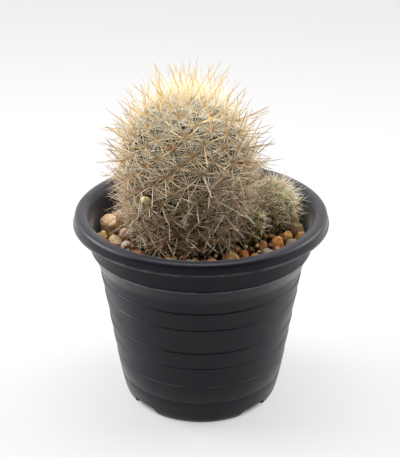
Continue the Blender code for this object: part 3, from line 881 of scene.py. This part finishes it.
class Stem:
    """A stem's outline, axis and tubercles, as the part has them. Its sizes are in millimetres."""

    def __init__(self, node, radius, foot, widest, tubercles, crowding, turn):
        root, direction = stem_axis(node)
        lean = direction.to_track_quat("Z", "Y").to_matrix()
        foot_point = root + direction * ((SOIL_TOP - root.z) / direction.z)
        self.place = Matrix.Translation(foot_point) @ lean.to_4x4()
        self.turned = self.place.to_3x3()
        self.up = (self.turned @ Vector((0, 0, 1))).normalized()
        self.radius, self.foot = radius * MM, foot * MM
        self.rise = (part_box(node)[1].z - SOIL_TOP) / direction.z
        self.widest = widest * MM - SOIL_TOP
        self.tubercles, self.crowding, self.turn = tubercles, crowding, math.radians(turn)

    def outline(self, samples=200):
        """Points from the apex to the foot: a dome above the widest level, a taper below it."""
        points = []
        for i in range(samples + 1):
            angle = math.pi / 2.0 * i / samples
            height = self.widest + (self.rise - self.widest) * math.cos(angle) ** 0.96
            points.append((self.radius * math.sin(angle) ** 0.92, height))
        for i in range(1, samples + 1):
            share = i / samples
            narrowing = (self.radius - self.foot) * share ** 1.7
            points.append((self.radius - narrowing, self.widest * (1.0 - share)))
        return points

    def walk(self):
        """The outline, how far each of its points is along it, and how the area grows."""
        outline = self.outline()
        lengths, areas = [0.0], [0.0]
        for (r0, z0), (r1, z1) in zip(outline, outline[1:]):
            step = math.hypot(r1 - r0, z1 - z0)
            lengths.append(lengths[-1] + step)
            crowd = 1.0 + self.crowding * math.exp(-lengths[-1] / (7.0 * MM))
            areas.append(areas[-1] + step * (r0 + r1) * crowd)
        return outline, lengths, areas

    def areoles(self):
        """The tubercles' tips, on a golden angle spiral of even area."""
        outline, _, areas = self.walk()
        areoles, segment = [], 1
        for i in range(self.tubercles):
            wanted = areas[-1] * (i + 0.35) / self.tubercles
            while areas[segment] < wanted:
                segment += 1
            share = (wanted - areas[segment - 1]) / (areas[segment] - areas[segment - 1])
            (r0, z0), (r1, z1) = outline[segment - 1], outline[segment]
            angle = self.turn + i * GOLDEN_ANGLE
            out = Vector((math.cos(angle), math.sin(angle), 0.0))
            tip = out * (r0 + (r1 - r0) * share) + Vector((0, 0, z0 + (z1 - z0) * share))
            normal = (self.turned @ (out * (z0 - z1) + Vector((0, 0, r1 - r0)))).normalized()
            areoles.append(Areole(self.place @ tip, normal, self.up, 1.0 - tip.z / self.rise))
        return areoles


def all_stems():
    """The main stem and its two offsets."""
    return (
        Stem("main_stem", 25.0, 21.0, 98.0, 210, 2.4, -12.0),
        Stem("large_offset", 8.2, 4.6, 80.5, 52, 1.2, 0.0),
        Stem("small_offset", 3.5, 2.6, 81.0, 20, 0.6, 160.0),
    )


TUBERCLE_DEPTH = 0.27  # a valley's depth, as a share of the tubercles' spacing


def tubercled_mesh(name, stem, rings, segments, woolly):
    """The stem's skin, raised into a tubercle at every tip, with woolly as the crown's share."""
    areoles = stem.areoles()
    tree = kdtree.KDTree(len(areoles))
    for i, areole in enumerate(areoles):
        tree.insert(areole.tip, i)
    tree.balance()
    outline, lengths, _ = stem.walk()
    radii, heights = zip(*outline)
    points = [stem.place @ Vector((0, 0, stem.rise - TUBERCLE_DEPTH * 2.0 * MM))]
    ridge = [0.5]
    for ring in range(1, rings + 1):
        walked = lengths[-1] * ring / rings
        nearby = walked + lengths[-1] / rings
        radius, next_radius = np.interp([walked, nearby], lengths, radii).tolist()
        height, next_height = np.interp([walked, nearby], lengths, heights).tolist()
        slope_r, slope_z = next_radius - radius, height - next_height
        if ring == rings:
            slope_r, slope_z = 0.0, 1.0
        for k in range(segments):
            angle = TURN * k / segments
            out = Vector((math.cos(angle), math.sin(angle), 0.0))
            place = stem.place @ (out * radius + Vector((0, 0, height)))
            normal = (stem.turned @ (out * slope_z + Vector((0, 0, slope_r)))).normalized()
            (_, _, near), (_, _, far) = tree.find_n(place, 2)
            spacing = near + far
            valley = min(1.0, 2.0 * near / spacing)
            place = place - normal * (TUBERCLE_DEPTH * spacing * valley ** 1.35)
            place += normal * noise.noise(place * 900.0) * 0.05 * MM
            points.append(place)
            # ridge is 0 deep in a valley, where the skin material paints shade.
            ridge.append(1.0 - valley ** 2)
    bottom = len(points)
    points.append(stem.place @ Vector((0, 0, -2.0 * MM)))
    ridge.append(0.0)
    faces = [(0, 1 + k, 1 + (k + 1) % segments) for k in range(segments)]
    for base in range(1, bottom - segments, segments):
        for k in range(segments):
            side = (k + 1) % segments
            faces.append((base + k, base + segments + k, base + segments + side, base + side))
    last = bottom - segments
    faces += [(last + (k + 1) % segments, last + k, bottom) for k in range(segments)]
    mesh = smooth_mesh(name, points, faces)
    add_values(mesh, "ridge", ridge)
    up = np.array([(point - points[bottom]).dot(stem.up) for point in points]) / stem.rise
    add_values(mesh, "crown", np.clip((up - 0.86) / 0.14, 0.0, 1.0) * woolly)
    return mesh


class CACTUS_OT_stems(bpy.types.Operator):
    """Make the skin of the main stem and its offsets, with a tubercle under every spine cluster"""

    bl_idname = "cactus.make_stems"
    bl_label = "Make stems"

    def execute(self, context):
        skins = context.scene.cactus.stem
        old = skin_material("skin", skins.green, skins.valley_shade)
        young = skin_material("young skin", skins.young, skins.young_valley_shade)
        rows = (
            ("main_stem", 150, 300, 0.75, old, "stem"),
            ("large_offset", 70, 140, 0.15, young, "offset"),
            ("small_offset", 40, 80, 0.15, young, "offset"),
        )
        for stem, (node, rings, segments, woolly, material, slot) in zip(all_stems(), rows):
            mesh = tubercled_mesh(f"{node}_skin", stem, rings, segments, woolly)
            add_piece(mesh, material, [node])
        return {"FINISHED"}


# Spines

GRAIN_CLEARANCE = 2.6 * MM  # fine spines stay this far from the grain's centre
CROWN_SHARE = 0.16  # how far down a stem its felt is white
WOOL_SHARE = 0.2  # how far down a stem its wool grows
MAIN_HAIRS, OFFSET_HAIRS = 2200, 120
HAIR_RADIUS = 0.06 * MM


class Needles:
    """Gathers spines, and builds them all as one mesh of closed, tapering, curved needles."""

    def __init__(self, sides, rings):
        self.sides = sides
        self.rings = rings
        self.rows = []

    def add(self, base, direction, bend, size, radius, tone):
        """bend is how far the tip is carried sideways, as a share of the spine's length."""
        self.rows.append((*base, *direction, *bend, size, radius, tone))

    def mesh(self, name, tip_share=0.22):
        """The needles as one mesh, with the map that the spine colours read."""
        rows = np.array(self.rows)
        base, direction, bend = rows[:, 0:3], rows[:, 3:6], rows[:, 6:9]
        size, radius, tone = rows[:, 9:10], rows[:, 10:11], rows[:, 11]
        sides, rings = self.sides, self.rings
        helper = np.where(np.abs(direction[:, 2:3]) > 0.9, [[1.0, 0.0, 0.0]], [[0.0, 0.0, 1.0]])
        across = np.cross(direction, helper)
        across /= np.linalg.norm(across, axis=1, keepdims=True)
        over = np.cross(direction, across)
        per = sides * rings + 1
        points = np.zeros((len(rows), per, 3))
        for ring in range(rings):
            t = ring / rings
            middle = base + (direction * t + bend * t * t) * size
            wide = radius * (tip_share + (1.0 - tip_share) * (1.0 - t) ** 0.7)
            for side in range(sides):
                angle = TURN * side / sides
                offset = across * math.cos(angle) + over * math.sin(angle)
                points[:, ring * sides + side] = middle + offset * wide
        points[:, -1] = base + (direction + bend) * size
        around = [(side, (side + 1) % sides) for side in range(sides)]
        last = (rings - 1) * sides
        faces = [
            (ring + a, ring + sides + a, ring + sides + b, ring + b)
            for ring in range(0, last, sides) for a, b in around
        ]
        faces += [(last + a, per - 1, last + b) for a, b in around]
        faces.append(tuple(range(sides)))
        joined = [[i * per + corner for corner in face] for i in range(len(rows)) for face in faces]
        mesh = smooth_mesh(name, points.reshape(-1, 3), joined)
        mesh.flip_normals()
        heights = np.append(np.repeat(np.arange(rings) / rings, sides), 1.0)
        slot = (np.floor(np.clip(tone, 0.0, 0.999) * SPINE_SLOTS) + 0.5) / SPINE_SLOTS
        corners = np.zeros(len(mesh.loops), np.int32)
        mesh.loops.foreach_get("vertex_index", corners)
        spread = ((corners % per) % sides - (sides - 1) / 2.0) / sides * 0.6 / SPINE_SLOTS
        uv = np.stack([slot[corners // per] + spread, heights[corners % per] * 0.98 + 0.01], 1)
        layer = mesh.uv_layers.new(name=SPINE_MAP)
        layer.data.foreach_set("uv", uv.astype(np.float32).ravel())
        return mesh


def spine_tone(age, rng, spread):
    """How old a spine looks, from 0 at the crown to 1 on the lower stem."""
    return (age - 0.06) / 0.42 + rng.uniform(-spread, spread)


def add_radials(at, rng, radials, spec):
    """The fine spines of a cluster, which leave the grain in view."""
    grain = (GRAIN_LOW + GRAIN_HIGH) / 2.0
    start = rng.uniform(0.0, TURN)
    number = round(spec["radials"] * (1.0 - 0.26 * max(0.0, at.down - 0.15)))
    for k in range(number):
        angle = start + TURN * (k + rng.uniform(-0.4, 0.4)) / number
        angle += 0.32 * (1.0 - at.crown) * math.sin(2.0 * angle)
        open_angle = math.radians(rng.uniform(60.0, 90.0) - 34.0 * at.crown)
        direction, lean = at.fan(angle, open_angle)
        size = spec["radial_length"] * rng.uniform(0.62, 1.22)
        size *= 0.70 + 0.38 * math.sin(angle) ** 2
        bend = at.normal * rng.uniform(-0.20, 0.12) + at.sideways * rng.uniform(-0.18, 0.18)
        bend += at.towards * rng.uniform(-0.18, 0.18)
        base = at.tip + lean * spec["pad"] * 0.7 + at.normal * 0.1 * MM
        thick = spec["radial_radius"] * rng.uniform(0.7, 1.2)
        tone = spine_tone(at.down + spec["age"], rng, 0.22)
        gaps = [(base + direction * size * share - grain).length for share in (0.3, 0.6, 0.9)]
        if min(gaps) > GRAIN_CLEARANCE:
            radials.add(base, direction, bend, size, thick, tone)


def add_centrals(at, rng, centrals, spec):
    """The stout spines of a cluster, longest at the crown and lifted towards it."""
    lift = spec["lift"] * max(0.0, 1.0 - at.down / 0.85)
    start = rng.uniform(0.0, TURN)
    number = spec["centrals"] + rng.choice((-1, 0, 0, 1))
    if at.down < 0.14:
        number = min(number, rng.choice((1, 2, 2, 3)))
    for k in range(number):
        angle = start + TURN * (k + rng.uniform(-0.3, 0.3)) / number
        open_angle = math.radians(rng.uniform(24.0, 64.0) * (1.0 - 0.35 * at.crown))
        direction, lean = at.fan(angle, open_angle)
        direction = (direction + at.upward * lift * rng.uniform(0.3, 1.3)).normalized()
        size = spec["central_length"] * rng.uniform(0.72, 1.12)
        size *= 1.0 + 0.42 * math.exp(-at.down / 0.14)
        size *= 1.0 + 0.14 * max(0.0, direction.x) * min(1.0, at.down / 0.35)
        bend = at.normal * rng.uniform(-0.08, 0.08) + at.sideways * rng.uniform(-0.08, 0.08)
        bend += at.upward * rng.uniform(-0.04, 0.10)
        base = at.tip + lean * spec["pad"] * 0.3 + at.normal * 0.1 * MM
        thick = spec["central_radius"] * rng.uniform(0.75, 1.15) * (1.0 - 0.20 * at.down)
        tone = spine_tone(at.down + spec["age"], rng, 0.15)
        centrals.add(base, direction, bend, size, thick, tone)


def add_strays(at, rng, radials, spec):
    """A few long pale spines that cross the older clusters."""
    for _ in range(rng.choice((1, 1, 2, 2)) if at.down > 0.3 else 0):
        angle = rng.uniform(0.0, TURN)
        direction, lean = at.fan(angle, math.radians(rng.uniform(36.0, 68.0)))
        bend = at.sideways * rng.uniform(-0.1, 0.1) + at.towards * rng.uniform(-0.1, 0.1)
        size = spec["central_length"] * rng.uniform(0.8, 1.15)
        thick = spec["radial_radius"] * rng.uniform(1.3, 1.7)
        radials.add(at.tip + lean * spec["pad"] * 0.4, direction, bend, size, thick, 0.2)


def grow(stem, rng, radials, centrals, pads, spec):
    """Put one cluster of spines on every tubercle that stands clear of the gravel."""
    for at in stem.areoles():
        if at.tip.z < spec["lowest"]:
            continue
        add_radials(at, rng, radials, spec)
        add_centrals(at, rng, centrals, spec)
        add_strays(at, rng, radials, spec)
        pads.append((at, spec["pad"] * rng.uniform(0.6, 0.9)))


def felt_mesh(name, pads, rng):
    """Small woolly cushions on the tubercle tips."""
    parts = []
    for at, size in pads:
        points, faces = stone_points(rng, 2)
        points[:, 2] *= 0.55
        turn = np.array(at.normal.to_track_quat("Z", "Y").to_matrix())
        parts.append((points @ turn.T * size + np.array(at.tip + at.normal * 0.1 * MM), faces))
    return joined_mesh(name, parts)


class CACTUS_OT_spines(bpy.types.Operator):
    """Make every spine of the main stem and its offsets, and the felt that they stand in"""

    bl_idname = "cactus.make_spines"
    bl_label = "Make spines"

    def execute(self, context):
        spine = context.scene.cactus.spine
        main, large, small = all_stems()
        fine = spine_material(
            "fine spines",
            [(0.92, 0.81, 0.60), spine.cream, (0.95, 0.91, 0.83)],
            [(0.58, 0.40, 0.22), (0.78, 0.63, 0.41), (0.87, 0.75, 0.57)],
            0.5, 0.5,
        )
        stout = spine_material(
            "stout spines",
            [spine.gold, (0.88, 0.62, 0.19), (0.54, 0.39, 0.20)],
            [spine.tan, (0.52, 0.37, 0.25), (0.24, 0.14, 0.09)],
            0.45, 0.5,
        )
        pale = spine_material(
            "offset spines",
            [(0.80, 0.60, 0.28), (0.94, 0.85, 0.64), (0.96, 0.90, 0.78)],
            [(0.58, 0.38, 0.16), (0.82, 0.68, 0.44), (0.88, 0.76, 0.58)],
            0.5, 0.4,
        )
        wool = wool_material()
        felt = wool_material("brown felt", spine.felt, [1.5 * part for part in spine.felt])
        rng = random.Random(SPINE_SEED)
        radials, centrals, pads = Needles(3, 4), Needles(5, 6), []
        spec = {
            "radials": spine.radials, "centrals": spine.centrals, "pad": 0.9 * MM,
            "lowest": SOIL_TOP + 6.2 * MM, "lift": 0.5, "age": 0.0,
            "radial_length": spine.radial_length, "central_length": spine.central_length,
            "radial_radius": spine.radial_radius, "central_radius": spine.central_radius,
        }
        grow(main, rng, radials, centrals, pads, spec)
        add_piece(radials.mesh("main_radial_spines"), fine)
        add_piece(
            centrals.mesh("main_central_spines", 0.42), stout,
            CROWN_NODES + SIDE_NODES + ["grain_spines"],
        )
        for name, material, chosen in (
            ("crown_felt", wool, [pad for pad in pads if pad[0].down < CROWN_SHARE]),
            ("main_felt", felt, [pad for pad in pads if pad[0].down >= CROWN_SHARE]),
        ):
            add_piece(felt_mesh(name, chosen, rng), material)
        young = spec | {
            "radials": 20, "centrals": 2, "pad": 0.5 * MM, "radial_length": 6.9 * MM,
            "central_length": 7.4 * MM, "radial_radius": 0.09 * MM, "central_radius": 0.12 * MM,
            "lowest": SOIL_TOP + 7.0 * MM, "lift": 0.25,
        }
        youngest = young | {
            "radials": 18, "centrals": 1, "pad": 0.45 * MM, "radial_length": 4.2 * MM,
            "central_length": 4.4 * MM, "age": 0.2,
        }
        pads = []
        for name, stem, spec in (("large", large, young), ("small", small, youngest)):
            radials, centrals = Needles(3, 4), Needles(4, 5)
            grow(stem, rng, radials, centrals, pads, spec)
            add_piece(radials.mesh(f"{name}_offset_radials"), pale)
            add_piece(
                centrals.mesh(f"{name}_offset_centrals"), pale,
                [f"{name}_offset_spines"],
            )
        add_piece(felt_mesh("offset_felt", pads, rng), wool)
        return {"FINISHED"}


class CACTUS_OT_wool(bpy.types.Operator):
    """Make the white wool of the crown, as fine curled hairs between the young tubercles"""

    bl_idname = "cactus.make_wool"
    bl_label = "Make wool"

    def execute(self, context):
        main, large, _ = all_stems()
        rng = random.Random(WOOL_SEED)
        hairs = Needles(3, 4)
        for stem, number in ((main, MAIN_HAIRS), (large, OFFSET_HAIRS)):
            crown = [areole for areole in stem.areoles() if areole.down < WOOL_SHARE]
            for _ in range(number):
                at = rng.choice(crown)
                angle = rng.uniform(0.0, TURN)
                direction, lean = at.fan(angle, math.radians(rng.uniform(30.0, 85.0)))
                base = at.tip + lean * rng.uniform(0.2, 1.8) * MM - at.normal * 0.3 * MM
                curl = Vector([rng.uniform(-reach, reach) for reach in (1, 1, 0.6)]) * 0.45
                size = rng.uniform(1.8, 3.8) * MM
                hairs.add(base, direction, curl, size, HAIR_RADIUS, rng.random())
        add_piece(hairs.mesh("crown_wool"), wool_material())
        return {"FINISHED"}


class CACTUS_OT_grain(bpy.types.Operator):
    """Make the yellow grain of feed that is caught in the spines"""

    bl_idname = "cactus.make_grain"
    bl_label = "Make feed grain"

    def execute(self, context):
        points, faces = stone_points(random.Random(GRAIN_SEED), 4)
        ball = points / np.linalg.norm(points, axis=1, keepdims=True)
        points = sized(0.55 * points + 0.45 * ball, GRAIN_LOW, GRAIN_HIGH)
        mesh = smooth_mesh("yellow_grain", points, faces)
        add_piece(mesh, feed_material(), ["feed_grain"])
        return {"FINISHED"}


# Stage, in metres

SOFTBOXES = (  # name, place, aim, size, power
    ("top softbox", (0.0, 0.10, 1.3), (0.0, 0.0, 0.1), 0.9, 14.5),
    ("left softbox", (-1.0, 0.22, 0.66), (0.0, 0.0, 0.08), 0.7, 19.0),
    ("right softbox", (1.0, 0.30, 0.62), (0.0, 0.0, 0.08), 0.7, 12.0),
)
CAMERA_SIDE = -0.44 * MM
FLOOR_SIZE = 4.0


def floor_material(stage):
    """Pale paper lit from below, with a painted shadow at the pot and painted dimming far off."""
    material, tree, shader, where = new_material("floor paper", 0.9, 0.02)
    soft = masked(tree, where, "Mottle", 3.0, 0.2, 0.8)
    paper = mix_by(tree, soft, stage.floor, rgba(stage.floor, 1.01))
    away = add_node(tree, "VectorMath", {0: where}, operation="LENGTH").outputs["Value"]
    # Painted contact shadow: no glow within 27 to 31 mm of the pot's axis.
    clear = value_range(tree, away, 0.0, 1.0, 27.0 * MM, 31.0 * MM, smooth=True)
    # Painted dimming: the glow falls off from 150 to 600 mm out.
    far = value_range(tree, away, 0.0, 1.0, 150.0 * MM, 600.0 * MM, smooth=True)
    painted_dimming = mix_by(tree, far, (1.0, 1.0, 1.0), (0.79, 0.79, 0.79))
    feed(tree, shader, {
        "Base Color": paper, "Emission Color": mix_by(tree, clear, (0.0, 0.0, 0.0), painted_dimming),
        "Emission Strength": stage.glow,
    })
    return material


def studio_world(stage):
    """White walls, bright behind the object and dark in front of it."""
    world = bpy.data.worlds.new("studio")
    world.use_nodes = True
    tree = world.node_tree
    around = add_node(tree, "TexCoord").outputs["Generated"]
    ahead = add_node(
        tree, "VectorMath", {0: around, 1: (0.0, -0.92, 0.39)}, operation="DOT_PRODUCT",
    ).outputs["Value"]
    walls = value_range(tree, ahead, 2.0, 0.03, -0.50, 0.76, smooth=True)
    feed(tree, tree.nodes["Background"], {"Color": walls, "Strength": stage.daylight})
    return world


class CACTUS_OT_stage(bpy.types.Operator):
    """Set up the pale floor, the soft studio light and the camera"""

    bl_idname = "cactus.make_stage"
    bl_label = "Make stage"

    def execute(self, context):
        scene, stage = context.scene, context.scene.cactus.stage
        bm = bmesh.new()
        bmesh.ops.create_grid(bm, x_segments=8, y_segments=8, size=FLOOR_SIZE)
        floor = bpy.data.objects.new("floor", filled_mesh("floor", bm))
        floor.data.materials.append(floor_material(stage))
        scene.collection.objects.link(floor)
        scene.world = studio_world(stage)
        for name, place, aim, size, power in SOFTBOXES:
            light = bpy.data.lights.new(name, "AREA")
            light.shape, light.size, light.energy = "SQUARE", size, power
            lamp = bpy.data.objects.new(name, light)
            lamp.location = place
            towards = Vector(aim) - Vector(place)
            lamp.rotation_euler = towards.to_track_quat("-Z", "Y").to_euler()
            scene.collection.objects.link(lamp)
        camera = bpy.data.cameras.new("camera")
        camera.lens, camera.sensor_width = stage.lens, 36.0
        view = bpy.data.objects.new("camera", camera)
        view.location = (CAMERA_SIDE, -stage.distance, stage.height)
        view.rotation_euler = (math.pi / 2.0 - stage.pitch, 0.0, 0.0)
        scene.collection.objects.link(view)
        scene.camera = view
        scene.view_settings.view_transform = "Standard"
        return {"FINISHED"}


class CACTUS_PT_panel(bpy.types.Panel):
    """Lists the steps and the settings in the 3D view's sidebar"""

    bl_label = "Potted round cactus"
    bl_idname = "CACTUS_PT_panel"
    bl_space_type = "VIEW_3D"
    bl_region_type = "UI"
    bl_category = "Cactus"

    def draw(self, context):
        for operator in OPERATORS:
            self.layout.operator(operator.bl_idname)
        settings = context.scene.cactus
        for part in (settings.pot, settings.stem, settings.spine, settings.gravel, settings.stage):
            column = self.layout.column()
            for key in part.__annotations__:
                column.prop(part, key)


OPERATORS = (
    CACTUS_OT_pot, CACTUS_OT_soil, CACTUS_OT_gravel, CACTUS_OT_stems, CACTUS_OT_spines,
    CACTUS_OT_wool, CACTUS_OT_grain, CACTUS_OT_stage,
)
CLASSES = (
    PotSettings, StemSettings, SpineSettings, GravelSettings, StageSettings, CactusSettings,
    *OPERATORS, CACTUS_PT_panel,
)


def register():
    for cls in CLASSES:
        bpy.utils.register_class(cls)
    bpy.types.Scene.cactus = bpy.props.PointerProperty(type=CactusSettings)


def unregister():
    del bpy.types.Scene.cactus
    for cls in reversed(CLASSES):
        bpy.utils.unregister_class(cls)


def main():
    register()
    bpy.ops.cactus.make_pot()
    bpy.ops.cactus.make_soil()
    bpy.ops.cactus.make_gravel()
    bpy.ops.cactus.make_stems()
    bpy.ops.cactus.make_spines()
    bpy.ops.cactus.make_wool()
    bpy.ops.cactus.make_grain()
    bpy.ops.cactus.make_stage()
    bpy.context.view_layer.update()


if __name__ == "__main__":
    main()
